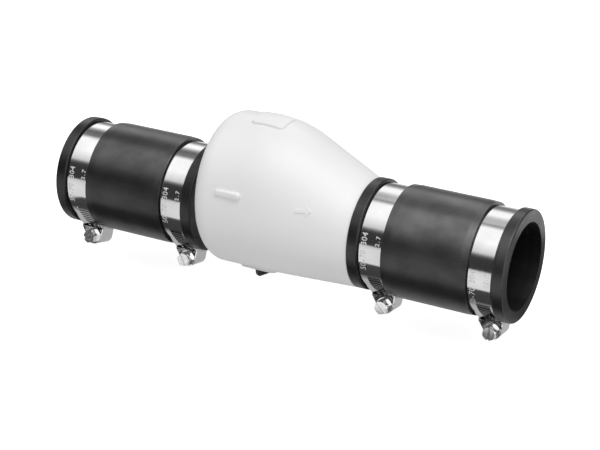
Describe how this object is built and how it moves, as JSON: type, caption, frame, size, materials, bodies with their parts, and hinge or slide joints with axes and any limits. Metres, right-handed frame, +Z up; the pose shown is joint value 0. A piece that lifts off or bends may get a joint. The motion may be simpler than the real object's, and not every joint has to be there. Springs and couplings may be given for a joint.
{
  "type": "non-return valve",
  "caption": "Inline swing non-return valve: moulded body with a hinged flap, rubber pipe couplings, worm-drive clamps and a screwed drain plug.",
  "frame": {"origin": "centre of the inlet mouth, on the pipe axis", "axes": "+X along the pipe axis, the way the water flows; +Z up, towards the flap's hinge; the drain plug points to -Z"},
  "size_m": [0.2775, 0.0816, 0.099],
  "materials": {
    "body_plastic": "satin moulded",
    "flap_plastic": "satin moulded",
    "coupling_rubber": "satin moulded",
    "seal_rubber": "matt moulded",
    "clamp_steel": "polished stainless",
    "screw_steel": "bright stainless",
    "bright_steel": "plain stainless",
    "plug_plastic": "satin moulded"
  },
  "bodies": {
    "valve": {"valve_body": "body_plastic", "inlet_cap": "body_plastic", "hinge_pin": "bright_steel", "pin_clip": "bright_steel", "inlet_coupling": "coupling_rubber", "outlet_coupling": "coupling_rubber", "clamp_band_1": "clamp_steel", "clamp_saddle_1": "clamp_steel", "clamp_cover_1": "clamp_steel", "clamp_band_2": "clamp_steel", "clamp_saddle_2": "clamp_steel", "clamp_cover_2": "clamp_steel", "clamp_band_3": "clamp_steel", "clamp_saddle_3": "clamp_steel", "clamp_cover_3": "clamp_steel", "clamp_band_4": "clamp_steel", "clamp_saddle_4": "clamp_steel", "clamp_cover_4": "clamp_steel"},
    "flap": {"flap_disc": "flap_plastic", "flap_seal": "seal_rubber", "seal_retainer": "bright_steel", "flap_screw": "bright_steel", "flap_nut": "bright_steel"},
    "screw_1": {"worm_screw_1": "screw_steel"},
    "screw_2": {"worm_screw_2": "screw_steel"},
    "screw_3": {"worm_screw_3": "screw_steel"},
    "screw_4": {"worm_screw_4": "screw_steel"},
    "drain_seal": {"drain_seal": "seal_rubber"},
    "drain_plug": {"drain_plug": "plug_plastic"}
  },
  "joints": [
    {"name": "flap_swing", "type": "hinge", "parent": "valve", "child": "flap", "pos_m": [0.11, 0, 0.033], "axis": [0, -1, 0], "range_deg": [0, 75]},
    {"name": "screw_turn_1", "type": "hinge", "parent": "valve", "child": "screw_1", "pos_m": [0.0152, -0.01089, -0.03562], "axis": [0, -0.9563, 0.2924], "continuous": true},
    {"name": "screw_turn_2", "type": "hinge", "parent": "valve", "child": "screw_2", "pos_m": [0.0782, -0.00838, -0.0363], "axis": [0, -0.9744, 0.225], "continuous": true},
    {"name": "screw_turn_3", "type": "hinge", "parent": "valve", "child": "screw_3", "pos_m": [0.2027, -0.00583, -0.03679], "axis": [0, -0.9877, 0.1564], "continuous": true},
    {"name": "screw_turn_4", "type": "hinge", "parent": "valve", "child": "screw_4", "pos_m": [0.2657, -0.00454, -0.03697], "axis": [0, -0.9925, 0.1219], "continuous": true},
    {"name": "plug_travel", "type": "slide", "parent": "valve", "child": "drain_seal", "axis": [0, 0, -1], "range_m": [0, 0.008]},
    {"name": "plug_turn", "type": "hinge", "parent": "drain_seal", "child": "drain_plug", "pos_m": [0.1212, 0, -0.0345], "axis": [0, 0, -1], "range_deg": [0, 1440]}
  ],
  "couplings": [
    {"joint": "plug_turn", "follows": "plug_travel", "rad_per_m": 3141.5}
  ]
}
